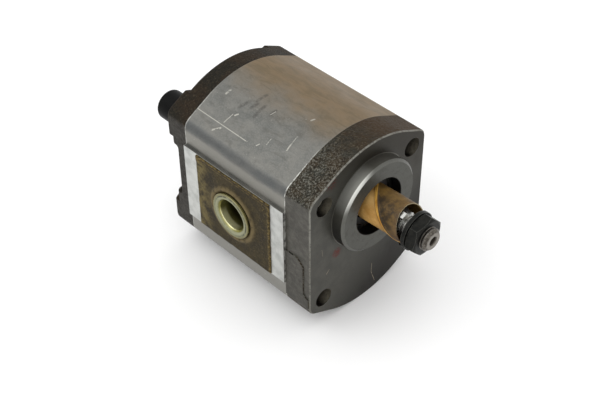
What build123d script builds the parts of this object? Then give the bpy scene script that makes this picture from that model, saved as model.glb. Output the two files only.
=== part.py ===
from build123d import *

import os
from math import acos, cos, pi, radians, sin, tan

# Hydraulic gear pump: square-pattern front cover with a pilot, aluminium body, cast rear cover.
#
# Millimetres. +X runs along the drive shaft towards its free end, +Z is up, and the origin is on
# the drive shaft's axis in the plane of the front cover's mounting face. The two ports face -Y
# and +Y. Every part is built where it sits in the pump.

# Stack along X
COVER_T = 16.0  # front cover
BODY_L = 70.0
REAR_T = 14.0  # rear cover
X_BODY_FRONT = -COVER_T
X_BODY_REAR = X_BODY_FRONT - BODY_L
X_REAR = X_BODY_REAR - REAR_T

# Gear pair
CENTRE_DIST = 31.0
TEETH = 12
MODULE = 2.5
PROFILE_SHIFT = 0.2233
BACKLASH = 0.12
PRESSURE_ANGLE = radians(20)
TIP_R = MODULE * (TEETH / 2 + 1 + PROFILE_SHIFT)
ROOT_R = MODULE * (TEETH / 2 - 1.25 + PROFILE_SHIFT)
GEAR_W = 26.0
X_GEAR = -51.0  # middle of the gears
X_GEAR_FRONT = X_GEAR + GEAR_W / 2
X_GEAR_REAR = X_GEAR - GEAR_W / 2
CHAMBER_R = TIP_R + 0.09
JOURNAL_R = 9.0
X_SHAFT_REAR = -85.4
X_DRIVEN_FRONT = -16.6
SHAFT_CHAMFER = 0.8

# Outline shared by the covers and the body
Z_MID = -CENTRE_DIST / 2  # the outline and the holes are centred between the two shafts
HALF_W = 39.5
HALF_H = 49.5
DOME_R = 52.3
SHOULDER_ANGLE = radians(27.6)
CORNER_R = 6.3

# Mounting pattern and through bolts
HOLE_SPACING = 60.0
HOLE_R = 5.25
BOLT_R = 5.0
BOLT_TIP = -5.2
BOLT_MOUTH = 5.0  # depth of the clearance hole in front of the thread that holds the bolt
BOLT_HEAD_R = 8.0
BOLT_HEAD_H = 10.0
BOLT_HEAD_ROUNDING = 2.0
BOLT_SOCKET_AF = 8.0
BOLT_SOCKET_DEPTH = 5.0
BOLT_Y = -HOLE_SPACING / 2
BOLT_Z = Z_MID + HOLE_SPACING / 2

# Cast pad on the -Y side of the front cover
COVER_PAD_H = 0.6
COVER_PAD_ROUNDING = 0.4
COVER_PAD_TOP = -16.5
COVER_PAD_BOTTOM = -46.5
COVER_PAD_FRONT = -4.0
COVER_PAD_FOOT = -38.5  # below this the pad widens to the mounting face

# Rear cover: corner bosses with a lower plate between them and a deeper relief in each side
PLATE_T = 12.0
PLATE_ROUNDING = 3.0
BOSS_R = 12.5
BOSS_ROUNDING = 1.8
RELIEF_T = 7.5
RELIEF_Y = 31.0
RELIEF_LOW = -30.0
RELIEF_HIGH = 1.2
RELIEF_CORNER_R = 3.0
RELIEF_FLOOR_R = 1.5
RELIEF_RIM_R = 1.0

# Pilot and shaft seal
PILOT_R = 25.0
PILOT_H = 7.0
PILOT_CHAMFER = 1.2
EDGE_CHAMFER = 0.6
SEAL_R = 15.5
SEAL_BORE_X = -7.5
SEAL_X = -0.5
SEAL_CAN_R = 14.1
SEAL_LIP_R = JOURNAL_R + 0.05
SEAL_ARM_R = 11.3
SEAL_MOUTH_CHAMFER = 0.25
SHAFT_HOLE_R = JOURNAL_R + 1.5
RING_GROOVE_R = 16.4
RING_BORE_R = 13.9
RING_GAP = 9.0
RING_T = 1.2
SPRING_COIL_R = 11.9
SPRING_WIRE_R = 0.55

# Ports
PAD_FACE = 41.2  # distance of each port pad from the middle plane
PAD_H = 46.0
PORT_X = -50.6
PORT_R = 10.0
PORT_DEPTH_Y = 8.0  # the port runs in to this distance from the middle plane
FLANGE_BOLT_SPACING = 24.7
FLANGE_BOLT_R = 2.5
FLANGE_BOLT_DEPTH = 13.0
SHEET_L = 52.0
SHEET_H = 45.6
SHEET_T = 0.8
SHEET_CORNER_R = 1.0
BULGE_R = 15.6  # the sheet stands up round the plug
BULGE_INNER_R = 13.0
BULGE_H = 1.1
BULGE_CHAMFER = 0.7
PLUG_FACE = 43.9
PLUG_R = 12.6
PLUG_NECK_R = 11.6
PLUG_BARREL_R = 9.9
PLUG_MOUTH_R = 9.3
PLUG_FLOOR_R = 6.6
PLUG_DEPTH = 16.0
PLUG_FLOOR_T = 1.2

# Drive shaft end
TAPER_BIG_R = 8.5
X_TAPER = 1.0
X_TAPER_END = 24.0
TAPER_PER_SIDE = 1 / 10
THREAD_R = 5.95
THREAD_ROOT_R = 5.15
THREAD_PITCH = 1.5
THREAD_TURNS = 8
X_THREAD = 26.6
X_SHAFT_END = 40.5
KEY_X = 17.5
KEY_TOP = 8.6
KEY_W = 3.2
KEY_H = 6.5
KEY_DISC_R = 8.0
KEY_ANGLE = radians(22)
NECK_R = 4.9  # between the taper and the thread
SHAFT_TIP_R = 4.6
CENTRE_MOUTH_R = 2.6
CENTRE_DRILL_R = 1.2
SLEEVE_R = 9.8
SLEEVE_BORE_R = 9.1
X_SLEEVE = 1.2
X_SLEEVE_END = 26.0
SLEEVE_END_SLOPE = 0.31
SLEEVE_LEAN = (0.77, 0.64)  # the loose sleeve leans this way in Y and Z
SLEEVE_LIFT = 0.45
SLEEVE_TILT = radians(1.5)
X_WASHER = 29.2
WASHER_T = 2.0
WASHER_R = 10.1
WASHER_SPLIT = 1.4
NUT_AF = 18.0
NUT_H = 6.0
NUT_ANGLE = 133.4
NUT_FACE_R = 8.5
NUT_CHAMFER = 1.3

# Bearing blocks, bushes and seals
BLOCK_R = CHAMBER_R - 0.05
BUSH_R = 10.0
BUSH_BORE_R = JOURNAL_R + 0.05
BUSH_L = 18.0
BUSH_RECESS = 1.0
BLOCK_GAP = 0.3  # room behind each block for the pressure balance
BLOCK_GROOVE = 2.0
GEAR_SIDE_GAP = 0.05
RELEASE_Y = 4.6  # pockets in the blocks let trapped oil out of the tooth mesh
RELEASE_W = 4.4
RELEASE_H = 5.0
RELEASE_DEPTH = 1.5
BALANCE_R = 14.0
BALANCE_W = 2.0
BALANCE_TAIL = 6.0
BALANCE_ARM = 8.0
DOWEL_R = 3.0
DOWEL_IN_BODY = 7.0
DOWEL_IN_COVER = 5.0
DOWELS = ((-31, Z_MID + 8), (31, Z_MID - 8))
BODY_SEAL_W = 2.0
BODY_SEAL_T = 1.8
BODY_SEAL_R = 21.6

NEAR = 0.1  # tolerance for picking edges by position


def across(x):
    """A plane square to the shaft at x: local x is +Y and local y is +Z."""
    return Plane(origin=(x, 0, 0), x_dir=(0, 1, 0), z_dir=(1, 0, 0))


def port_plane(side, distance):
    """A plane on a port side, facing outwards: local y is +Z."""
    return Plane(
        origin=(PORT_X, side * distance, Z_MID), x_dir=(-side, 0, 0), z_dir=(0, side, 0)
    )


def edges_at(builder, x):
    """Edges that lie in the plane square to the shaft at x."""
    return builder.edges().filter_by(Plane.YZ).filter_by_position(Axis.X, x - NEAR, x + NEAR)


def shaft_centres():
    return Locations((0, 0), (0, -CENTRE_DIST))


def mounting_centres():
    """The square of mounting holes about the middle of the outline."""
    half = HOLE_SPACING / 2
    return Locations(*[(i * half, Z_MID + j * half) for i in (-1, 1) for j in (-1, 1)])


def involute(angle):
    return tan(angle) - angle


def tooth_half_angle(radius):
    """Half the angle a tooth covers at a radius, thinned for backlash."""
    base_r = MODULE * TEETH / 2 * cos(PRESSURE_ANGLE)
    ref_r = MODULE * TEETH / 2
    thick = MODULE * (pi / 2 + 2 * PROFILE_SHIFT * tan(PRESSURE_ANGLE)) - BACKLASH
    at_ref = thick / 2 / ref_r
    return at_ref + involute(PRESSURE_ANGLE) - involute(acos(min(1.0, base_r / radius)))


def polar(radius, angle):
    return (radius * cos(angle), radius * sin(angle))


# Outline: flat sides, sloping shoulders and a domed top and bottom
dome_y = DOME_R * sin(SHOULDER_ANGLE)
dome_z = HALF_H - DOME_R * (1 - cos(SHOULDER_ANGLE))
shoulder_z = dome_z - (HALF_W - dome_y) * tan(SHOULDER_ANGLE)
with BuildSketch() as outline:
    with BuildLine():
        ThreePointArc((-dome_y, dome_z), (0, HALF_H), (dome_y, dome_z))
        Polyline((dome_y, dome_z), (HALF_W, shoulder_z), (HALF_W, -shoulder_z), (dome_y, -dome_z))
        ThreePointArc((dome_y, -dome_z), (0, -HALF_H), (-dome_y, -dome_z))
        Polyline((-dome_y, -dome_z), (-HALF_W, -shoulder_z), (-HALF_W, shoulder_z), (-dome_y, dome_z))
    make_face()
    fillet([v for v in outline.vertices() if abs(abs(v.X) - HALF_W) < 0.01], radius=CORNER_R)
outline_face = outline.sketch.moved(Location((0, Z_MID)))

# Figure-of-eight bore that holds the gears and the bearing blocks
with BuildSketch() as chamber:
    with shaft_centres():
        Circle(CHAMBER_R)
chamber_face = chamber.sketch

# Ring groove outline for the seals between the body and each cover
with BuildSketch() as seal_ring:
    with Locations((0, Z_MID)):
        SlotCenterToCenter(CENTRE_DIST, 2 * (BODY_SEAL_R + BODY_SEAL_W / 2), rotation=90)
        SlotCenterToCenter(
            CENTRE_DIST, 2 * (BODY_SEAL_R - BODY_SEAL_W / 2), rotation=90, mode=Mode.SUBTRACT
        )
seal_ring_face = seal_ring.sketch

# Three-shaped pressure balance seal round both bushes
with BuildSketch() as balance:
    with shaft_centres():
        Circle(BALANCE_R)
        Circle(BALANCE_R - BALANCE_W, mode=Mode.SUBTRACT)
    with Locations((-BALANCE_R, Z_MID)):
        Rectangle(2 * BALANCE_R, 2 * (CENTRE_DIST + BALANCE_R), mode=Mode.SUBTRACT)
    with Locations((0, BALANCE_R + 1), (0, Z_MID), (0, -CENTRE_DIST - BALANCE_R - 1)):
        Rectangle(BALANCE_W, BALANCE_TAIL)
    with Locations((BALANCE_ARM / 2, Z_MID)):
        Rectangle(BALANCE_ARM, BALANCE_W)
balance_face = balance.sketch

# Gear outline, with one tooth pointing along local +x
base_r = MODULE * TEETH / 2 * cos(PRESSURE_ANGLE)
pitch = 2 * pi / TEETH
with BuildSketch() as gear:
    with BuildLine():
        for tooth in range(TEETH):
            mid = tooth * pitch
            radii = [base_r + (TIP_R - base_r) * i / 5 for i in range(6)]
            rising = [polar(r, mid - tooth_half_angle(r)) for r in radii]
            falling = [polar(r, mid + tooth_half_angle(r)) for r in reversed(radii)]
            foot = tooth_half_angle(base_r)
            Line(polar(ROOT_R, mid - foot), rising[0])
            Spline(*rising)
            ThreePointArc(rising[-1], polar(TIP_R, mid), falling[0])
            Spline(*falling)
            Line(falling[-1], polar(ROOT_R, mid + foot))
            ThreePointArc(
                polar(ROOT_R, mid + foot),
                polar(ROOT_R, mid + pitch / 2),
                polar(ROOT_R, mid + pitch - foot),
            )
    make_face()
gear_face = gear.sketch

# ---------------------------------------------------------------- housing
with BuildPart() as front_cover:
    with BuildSketch(across(-COVER_T)):
        add(outline_face)
    extrude(amount=COVER_T)
    chamfer(front_cover.faces().sort_by(Axis.X)[-1].edges(), length=EDGE_CHAMFER)
    # raised cast pad low on one side
    with BuildSketch(Plane(origin=(0, 1 - HALF_W, 0), x_dir=(1, 0, 0), z_dir=(0, -1, 0))):
        with BuildLine():
            Polyline(
                (-COVER_T, COVER_PAD_BOTTOM), (-EDGE_CHAMFER, COVER_PAD_BOTTOM),
                (-EDGE_CHAMFER, COVER_PAD_FOOT - 2), (COVER_PAD_FRONT + 1.8, COVER_PAD_FOOT - 2),
                (COVER_PAD_FRONT, COVER_PAD_FOOT), (COVER_PAD_FRONT, COVER_PAD_TOP - 4),
                (COVER_PAD_FRONT - 4, COVER_PAD_TOP), (-COVER_T, COVER_PAD_TOP), close=True,
            )
        make_face()
    extrude(amount=1 + COVER_PAD_H)
    pad_rim = front_cover.faces().sort_by(Axis.Y)[0].edges().filter_by_position(Axis.X, NEAR - COVER_T, 0)
    fillet([e for e in pad_rim if e.center().Z > COVER_PAD_BOTTOM + NEAR], radius=COVER_PAD_ROUNDING)
    with BuildSketch(across(0)):
        Circle(PILOT_R)
    extrude(amount=PILOT_H)
    chamfer(front_cover.faces().sort_by(Axis.X)[-1].edges(), length=PILOT_CHAMFER)
    # seal housing with its ring groove, then the clearance round the shaft
    with BuildSketch(across(PILOT_H)):
        Circle(SEAL_R)
    extrude(amount=SEAL_BORE_X - PILOT_H, mode=Mode.SUBTRACT)
    with BuildSketch(across(SEAL_X)):
        Circle(RING_GROOVE_R)
    extrude(amount=RING_T, mode=Mode.SUBTRACT)
    chamfer(
        front_cover.faces().sort_by(Axis.X)[-1].edges().filter_by(GeomType.CIRCLE).sort_by(SortBy.RADIUS)[0],
        length=SEAL_MOUTH_CHAMFER,
    )
    with BuildSketch(across(-COVER_T)):
        Circle(SHAFT_HOLE_R)
    extrude(amount=COVER_T, mode=Mode.SUBTRACT)
    # four mounting holes; the bolt left in one of them is screwed in behind its mouth
    with BuildSketch(across(0)):
        with mounting_centres():
            Circle(BOLT_R)
    extrude(amount=-COVER_T, mode=Mode.SUBTRACT)
    with BuildSketch(across(0)):
        with Locations(
            (-BOLT_Y, BOLT_Z), (-BOLT_Y, BOLT_Z - HOLE_SPACING), (BOLT_Y, BOLT_Z - HOLE_SPACING)
        ):
            Circle(HOLE_R)
    extrude(amount=-COVER_T, mode=Mode.SUBTRACT)
    with BuildSketch(across(0)):
        with Locations((BOLT_Y, BOLT_Z)):
            Circle(HOLE_R)
    extrude(amount=-BOLT_MOUTH, mode=Mode.SUBTRACT)
    # seal groove and dowel holes in the face against the body
    with BuildSketch(across(-COVER_T)):
        add(seal_ring_face)
    extrude(amount=BODY_SEAL_T, mode=Mode.SUBTRACT)
    with BuildSketch(across(-COVER_T)):
        with Locations(*DOWELS):
            Circle(DOWEL_R)
    extrude(amount=DOWEL_IN_COVER, mode=Mode.SUBTRACT)
front_cover.part.label = "front_cover"

with BuildPart() as pump_body:
    with BuildSketch(across(X_BODY_REAR)):
        add(outline_face)
    extrude(amount=BODY_L)
    for side in (-1, 1):
        with BuildSketch(port_plane(side, HALF_W - 2)):
            with Locations((side * (PORT_X - X_GEAR), 0)):
                Rectangle(BODY_L, PAD_H)
        extrude(amount=PAD_FACE - HALF_W + 2)
    with BuildSketch(across(X_BODY_REAR)):
        add(chamber_face)
    extrude(amount=BODY_L, mode=Mode.SUBTRACT)
    for side in (-1, 1):
        with BuildSketch(port_plane(side, PAD_FACE)):
            Circle(PORT_R)
        extrude(amount=PORT_DEPTH_Y - PAD_FACE, mode=Mode.SUBTRACT)
        with BuildSketch(port_plane(side, PAD_FACE)):
            with GridLocations(FLANGE_BOLT_SPACING, FLANGE_BOLT_SPACING, 2, 2):
                Circle(FLANGE_BOLT_R)
        extrude(amount=-FLANGE_BOLT_DEPTH, mode=Mode.SUBTRACT)
    with BuildSketch(across(X_BODY_REAR)):
        with mounting_centres():
            Circle(HOLE_R)
    extrude(amount=BODY_L, mode=Mode.SUBTRACT)
    for x, depth in ((X_BODY_FRONT, -DOWEL_IN_BODY), (X_BODY_REAR, DOWEL_IN_BODY)):
        with BuildSketch(across(x)):
            with Locations(*DOWELS):
                Circle(DOWEL_R)
        extrude(amount=depth, mode=Mode.SUBTRACT)
pump_body.part.label = "pump_body"

with BuildPart() as rear_cover:
    with BuildSketch(across(X_BODY_REAR - PLATE_T)):
        add(outline_face)
    extrude(amount=PLATE_T)
    fillet(rear_cover.faces().sort_by(Axis.X)[0].edges(), radius=PLATE_ROUNDING)
    with BuildSketch(across(X_REAR)):
        with mounting_centres():
            Circle(BOSS_R)
        add(outline_face, mode=Mode.INTERSECT)
    extrude(amount=REAR_T)
    fillet(rear_cover.faces().group_by(Axis.X)[0].edges(), radius=BOSS_ROUNDING)
    for side in (-1, 1):
        with BuildSketch(across(X_REAR)):
            with Locations((side * (RELIEF_Y + HALF_W / 2), (RELIEF_LOW + RELIEF_HIGH) / 2)):
                RectangleRounded(HALF_W, RELIEF_HIGH - RELIEF_LOW, RELIEF_CORNER_R)
        extrude(amount=REAR_T - RELIEF_T, mode=Mode.SUBTRACT)
    floor_edges = [e for e in edges_at(rear_cover, X_BODY_REAR - RELIEF_T) if abs(e.center().Y) < HALF_W - 1]
    fillet(floor_edges, radius=RELIEF_FLOOR_R)
    relief_rims = [
        e for e in edges_at(rear_cover, X_BODY_REAR - PLATE_T)
        if abs(e.center().Y) > RELIEF_Y - NEAR and RELIEF_LOW - NEAR < e.center().Z < RELIEF_HIGH + NEAR
    ]
    fillet(relief_rims, radius=RELIEF_RIM_R)
    with BuildSketch(across(X_REAR)):
        with mounting_centres():
            Circle(HOLE_R)
    extrude(amount=REAR_T, mode=Mode.SUBTRACT)
    with BuildSketch(across(X_BODY_REAR)):
        add(seal_ring_face)
    extrude(amount=-BODY_SEAL_T, mode=Mode.SUBTRACT)
    with BuildSketch(across(X_BODY_REAR)):
        with Locations(*DOWELS):
            Circle(DOWEL_R)
    extrude(amount=-DOWEL_IN_COVER, mode=Mode.SUBTRACT)
rear_cover.part.label = "rear_cover"

with BuildPart() as body_seal_front:
    with BuildSketch(across(X_BODY_FRONT)):
        add(seal_ring_face)
    extrude(amount=BODY_SEAL_T)
body_seal_front.part.label = "body_seal_front"

with BuildPart() as body_seal_rear:
    with BuildSketch(across(X_BODY_REAR)):
        add(seal_ring_face)
    extrude(amount=-BODY_SEAL_T)
body_seal_rear.part.label = "body_seal_rear"

with BuildPart() as dowel_pins:
    for x_start in (X_BODY_FRONT - DOWEL_IN_BODY, X_BODY_REAR - DOWEL_IN_COVER):
        with BuildSketch(across(x_start)):
            with Locations(*DOWELS):
                Circle(DOWEL_R)
        extrude(amount=DOWEL_IN_BODY + DOWEL_IN_COVER)
dowel_pins.part.label = "dowel_pins"

with BuildPart() as through_bolt:
    with BuildSketch(across(X_REAR - BOLT_HEAD_H)):
        with Locations((BOLT_Y, BOLT_Z)):
            Circle(BOLT_HEAD_R)
    extrude(amount=BOLT_HEAD_H)
    fillet(through_bolt.faces().sort_by(Axis.X)[0].edges(), radius=BOLT_HEAD_ROUNDING)
    with BuildSketch(across(X_REAR - BOLT_HEAD_H)):
        with Locations((BOLT_Y, BOLT_Z)):
            RegularPolygon(radius=BOLT_SOCKET_AF / 2, side_count=6, major_radius=False)
    extrude(amount=BOLT_SOCKET_DEPTH, mode=Mode.SUBTRACT)
    with BuildSketch(across(X_REAR)):
        with Locations((BOLT_Y, BOLT_Z)):
            Circle(BOLT_R)
    extrude(amount=BOLT_TIP - X_REAR)
    chamfer(through_bolt.faces().sort_by(Axis.X)[-1].edges(), length=SHAFT_CHAMFER)
through_bolt.part.label = "through_bolt"

# ---------------------------------------------------------------- inside the body


def bearing_block(x_gear_side, direction):
    """A figure-of-eight block; direction is +1 in front of the gears and -1 behind them."""
    inner = x_gear_side + direction * GEAR_SIDE_GAP
    outer = (X_BODY_FRONT if direction > 0 else X_BODY_REAR) - direction * BLOCK_GAP
    with BuildPart() as block:
        with BuildSketch(across(inner)):
            with shaft_centres():
                Circle(BLOCK_R)
        extrude(amount=outer - inner)
        with BuildSketch(across(inner)):
            with shaft_centres():
                Circle(BUSH_R)
        extrude(amount=outer - inner, mode=Mode.SUBTRACT)
        with BuildSketch(across(outer)):
            add(balance_face)
        extrude(amount=-direction * BLOCK_GROOVE, mode=Mode.SUBTRACT)
        with BuildSketch(across(inner)):
            with Locations((-RELEASE_Y, Z_MID), (RELEASE_Y, Z_MID)):
                Rectangle(RELEASE_W, RELEASE_H)
        extrude(amount=direction * RELEASE_DEPTH, mode=Mode.SUBTRACT)
    return block.part


def balance_seal(direction):
    cover_face = X_BODY_FRONT if direction > 0 else X_BODY_REAR
    with BuildPart() as seal:
        with BuildSketch(across(cover_face)):
            add(balance_face)
        extrude(amount=-direction * (BLOCK_GAP + BLOCK_GROOVE))
    return seal.part


def bushes(x_start):
    with BuildPart() as pair:
        with BuildSketch(across(x_start)):
            with shaft_centres():
                Circle(BUSH_R)
                Circle(BUSH_BORE_R, mode=Mode.SUBTRACT)
        extrude(amount=BUSH_L)
    return pair.part


bearing_block_front = bearing_block(X_GEAR_FRONT, 1)
bearing_block_front.label = "bearing_block_front"
bearing_block_rear = bearing_block(X_GEAR_REAR, -1)
bearing_block_rear.label = "bearing_block_rear"
balance_seal_front = balance_seal(1)
balance_seal_front.label = "balance_seal_front"
balance_seal_rear = balance_seal(-1)
balance_seal_rear.label = "balance_seal_rear"
bushes_front = bushes(X_GEAR_FRONT + BUSH_RECESS)
bushes_front.label = "bushes_front"
bushes_rear = bushes(X_GEAR_REAR - BUSH_RECESS - BUSH_L)
bushes_rear.label = "bushes_rear"

with BuildPart() as shaft_seal:
    with BuildSketch(Plane.XY):
        with BuildLine():
            Polyline(
                (SEAL_BORE_X, SEAL_R), (SEAL_X, SEAL_R), (SEAL_X, SEAL_LIP_R + 1.1), (-3.8, SEAL_LIP_R),
                (-4.4, SEAL_LIP_R), (-6.6, SEAL_LIP_R + 0.8), (-6.6, SEAL_ARM_R), (-2.0, SEAL_ARM_R),
                (-2.0, SEAL_CAN_R), (SEAL_BORE_X, SEAL_CAN_R), close=True,
            )
        make_face()
    revolve(axis=Axis.X)
shaft_seal.part.label = "shaft_seal"

with BuildPart() as garter_spring:
    with BuildSketch(Plane.XY):
        with Locations((-5.2, SPRING_COIL_R)):
            Circle(SPRING_WIRE_R)
    revolve(axis=Axis.X)
garter_spring.part.label = "garter_spring"

with BuildPart() as retaining_ring:
    with BuildSketch(across(SEAL_X)):
        Circle(RING_GROOVE_R)
        Circle(RING_BORE_R, mode=Mode.SUBTRACT)
        with Locations((0, -RING_GROOVE_R)):
            Rectangle(RING_GAP, RING_GAP, mode=Mode.SUBTRACT)
    extrude(amount=RING_T)
retaining_ring.part.label = "retaining_ring"

# ---------------------------------------------------------------- port covers


def port_sheet(side):
    """Protective sheet stuck over a port pad, bulged up round the plug."""
    with BuildPart() as sheet:
        with BuildSketch(port_plane(side, PAD_FACE)):
            RectangleRounded(SHEET_L, SHEET_H, SHEET_CORNER_R)
        extrude(amount=SHEET_T)
        with BuildSketch(port_plane(side, PAD_FACE + SHEET_T)):
            Circle(BULGE_R)
            Circle(BULGE_INNER_R, mode=Mode.SUBTRACT)
        extrude(amount=BULGE_H)
        crest = sheet.edges().filter_by(GeomType.CIRCLE).group_by(Axis.Y)[0 if side < 0 else -1]
        chamfer(crest, length=BULGE_CHAMFER)
        with BuildSketch(port_plane(side, PAD_FACE)):
            Circle(PORT_R)
        extrude(amount=SHEET_T, mode=Mode.SUBTRACT)
    return sheet.part


def port_plug(side):
    """Flanged cup pushed into a port through the sheet."""
    seat = PAD_FACE + SHEET_T
    end = PLUG_FACE - PLUG_DEPTH
    floor = end + PLUG_FLOOR_T
    with BuildPart() as plug:
        with BuildSketch(Plane(origin=(PORT_X, 0, Z_MID), x_dir=(1, 0, 0), z_dir=(0, 0, side))):
            with BuildLine():
                Polyline(
                    (0, end), (PLUG_BARREL_R - 1.7, end), (PLUG_BARREL_R - 1.0, end + 1.0),
                    (PLUG_BARREL_R, seat - 1.0), (PLUG_BARREL_R, seat), (PLUG_NECK_R, seat),
                    (PLUG_NECK_R, PLUG_FACE - 1.2), (PLUG_R, PLUG_FACE - 1.0), (PLUG_R, PLUG_FACE - 0.3),
                    (PLUG_R - 0.3, PLUG_FACE), (PLUG_BARREL_R, PLUG_FACE), (PLUG_MOUTH_R, PLUG_FACE - 0.4),
                    (PLUG_MOUTH_R - 0.6, PLUG_FACE - 1.6), (PLUG_FLOOR_R + 1.1, floor + 2.3),
                    (PLUG_FLOOR_R, floor + 0.4), (0, floor), close=True,
                )
            make_face()
        revolve(axis=Axis((PORT_X, 0, Z_MID), (0, 1, 0)))
    return plug.part


port_sheet_a = port_sheet(-1)
port_sheet_a.label = "port_sheet_a"
port_sheet_b = port_sheet(1)
port_sheet_b.label = "port_sheet_b"
port_plug_a = port_plug(-1)
port_plug_a.label = "port_plug_a"
port_plug_b = port_plug(1)
port_plug_b.label = "port_plug_b"

# ---------------------------------------------------------------- turning parts
key_plane = Plane(
    origin=(0, 0, 0), x_dir=(1, 0, 0), z_dir=(0, -cos(KEY_ANGLE), -sin(KEY_ANGLE))
)
with BuildPart() as woodruff_key:
    with BuildSketch(key_plane):
        with Locations((KEY_X, KEY_TOP - KEY_H + KEY_DISC_R)):
            Circle(KEY_DISC_R)
        with Locations((KEY_X, KEY_TOP + 10)):
            Rectangle(40, 20, mode=Mode.SUBTRACT)
    extrude(amount=KEY_W / 2, both=True)
woodruff_key.part.label = "woodruff_key"

taper_end_r = TAPER_BIG_R - (X_TAPER_END - X_TAPER) * TAPER_PER_SIDE
thread = []
for turn in range(THREAD_TURNS):
    x = X_THREAD + turn * THREAD_PITCH
    thread += [(x, THREAD_R), (x + 0.2, THREAD_R), (x + 0.75, THREAD_ROOT_R), (x + 0.95, THREAD_ROOT_R)]
thread_end = X_THREAD + THREAD_TURNS * THREAD_PITCH
with BuildPart() as drive_gear_shaft:
    with BuildSketch(Plane.XY):
        with BuildLine():
            Polyline(
                (X_SHAFT_REAR, 0), (X_SHAFT_REAR, JOURNAL_R - SHAFT_CHAMFER),
                (X_SHAFT_REAR + SHAFT_CHAMFER, JOURNAL_R), (X_TAPER - 0.6, JOURNAL_R),
                (X_TAPER, TAPER_BIG_R), (X_TAPER_END, taper_end_r), (X_TAPER_END + 0.4, NECK_R),
                (X_THREAD - 1.0, NECK_R), *thread, (thread_end, THREAD_R), (thread_end + 0.5, THREAD_R),
                (X_SHAFT_END, SHAFT_TIP_R), (X_SHAFT_END, CENTRE_MOUTH_R),
                (X_SHAFT_END - 2.2, CENTRE_DRILL_R), (X_SHAFT_END - 4.5, CENTRE_DRILL_R),
                (X_SHAFT_END - 5.2, 0), close=True,
            )
        make_face()
    revolve(axis=Axis.X)
    # a tooth points down at the driven gear
    with BuildSketch(across(X_GEAR_REAR)):
        add(gear_face.rotate(Axis.Z, -90))
    extrude(amount=GEAR_W)
    add(woodruff_key.part, mode=Mode.SUBTRACT)
drive_gear_shaft.part.label = "drive_gear_shaft"

with BuildPart() as driven_gear_shaft:
    with BuildSketch(across(X_SHAFT_REAR)):
        with Locations((0, -CENTRE_DIST)):
            Circle(JOURNAL_R)
    extrude(amount=X_DRIVEN_FRONT - X_SHAFT_REAR)
    chamfer(driven_gear_shaft.edges().filter_by(GeomType.CIRCLE), length=SHAFT_CHAMFER)
    # half a pitch on from the drive gear, so a gap faces its tooth
    with BuildSketch(across(X_GEAR_REAR)):
        add(gear_face.rotate(Axis.Z, 90 + 180 / TEETH).moved(Location((0, -CENTRE_DIST))))
    extrude(amount=GEAR_W)
driven_gear_shaft.part.label = "driven_gear_shaft"

lean_y, lean_z = SLEEVE_LEAN
sleeve_plane = Plane(
    origin=(X_SLEEVE, lean_y * SLEEVE_LIFT, lean_z * SLEEVE_LIFT),
    x_dir=(0, lean_z, -lean_y),
    z_dir=(cos(SLEEVE_TILT), lean_y * sin(SLEEVE_TILT), lean_z * sin(SLEEVE_TILT)),
)
with BuildPart() as paper_sleeve:
    with BuildSketch(sleeve_plane):
        Circle(SLEEVE_R)
        Circle(SLEEVE_BORE_R, mode=Mode.SUBTRACT)
    extrude(amount=X_SLEEVE_END + SLEEVE_R)
    split(
        bisect_by=Plane(origin=(X_SLEEVE_END, 0, 0), z_dir=(1, 0, SLEEVE_END_SLOPE)),
        keep=Keep.BOTTOM,
    )
paper_sleeve.part.label = "paper_sleeve"

with BuildPart() as spring_washer:
    with BuildSketch(across(X_WASHER)):
        Circle(WASHER_R)
        Circle(THREAD_R + 0.2, mode=Mode.SUBTRACT)
        with Locations((0, 2 - WASHER_R)):
            Rectangle(WASHER_SPLIT, 6, rotation=12, mode=Mode.SUBTRACT)
    extrude(amount=WASHER_T)
spring_washer.part.label = "spring_washer"

x_nut = X_WASHER + WASHER_T
x_nut_end = x_nut + NUT_H
nut_corner_r = NUT_FACE_R + NUT_CHAMFER / tan(radians(30))
with BuildPart() as hex_nut:
    with BuildSketch(across(x_nut)):
        RegularPolygon(
            radius=NUT_AF / 2, side_count=6, major_radius=False, rotation=NUT_ANGLE
        )
    extrude(amount=NUT_H)
    # both faces are turned to a 30 degree chamfer
    with BuildSketch(Plane.XY):
        with BuildLine():
            Polyline(
                (x_nut, 0), (x_nut, NUT_FACE_R), (x_nut + NUT_CHAMFER, nut_corner_r),
                (x_nut_end - NUT_CHAMFER, nut_corner_r), (x_nut_end, NUT_FACE_R), (x_nut_end, 0),
                close=True,
            )
        make_face()
    revolve(axis=Axis.X, mode=Mode.INTERSECT)
    with BuildSketch(across(x_nut)):
        Circle(THREAD_R + 0.05)
    extrude(amount=NUT_H, mode=Mode.SUBTRACT)
hex_nut.part.label = "hex_nut"

os.makedirs("parts", exist_ok=True)
export_step(front_cover.part, "parts/front_cover.step")
export_step(pump_body.part, "parts/pump_body.step")
export_step(rear_cover.part, "parts/rear_cover.step")
export_step(body_seal_front.part, "parts/body_seal_front.step")
export_step(body_seal_rear.part, "parts/body_seal_rear.step")
export_step(dowel_pins.part, "parts/dowel_pins.step")
export_step(through_bolt.part, "parts/through_bolt.step")
export_step(bearing_block_front, "parts/bearing_block_front.step")
export_step(bearing_block_rear, "parts/bearing_block_rear.step")
export_step(balance_seal_front, "parts/balance_seal_front.step")
export_step(balance_seal_rear, "parts/balance_seal_rear.step")
export_step(bushes_front, "parts/bushes_front.step")
export_step(bushes_rear, "parts/bushes_rear.step")
export_step(shaft_seal.part, "parts/shaft_seal.step")
export_step(garter_spring.part, "parts/garter_spring.step")
export_step(retaining_ring.part, "parts/retaining_ring.step")
export_step(port_sheet_a, "parts/port_sheet_a.step")
export_step(port_sheet_b, "parts/port_sheet_b.step")
export_step(port_plug_a, "parts/port_plug_a.step")
export_step(port_plug_b, "parts/port_plug_b.step")
export_step(woodruff_key.part, "parts/woodruff_key.step")
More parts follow.
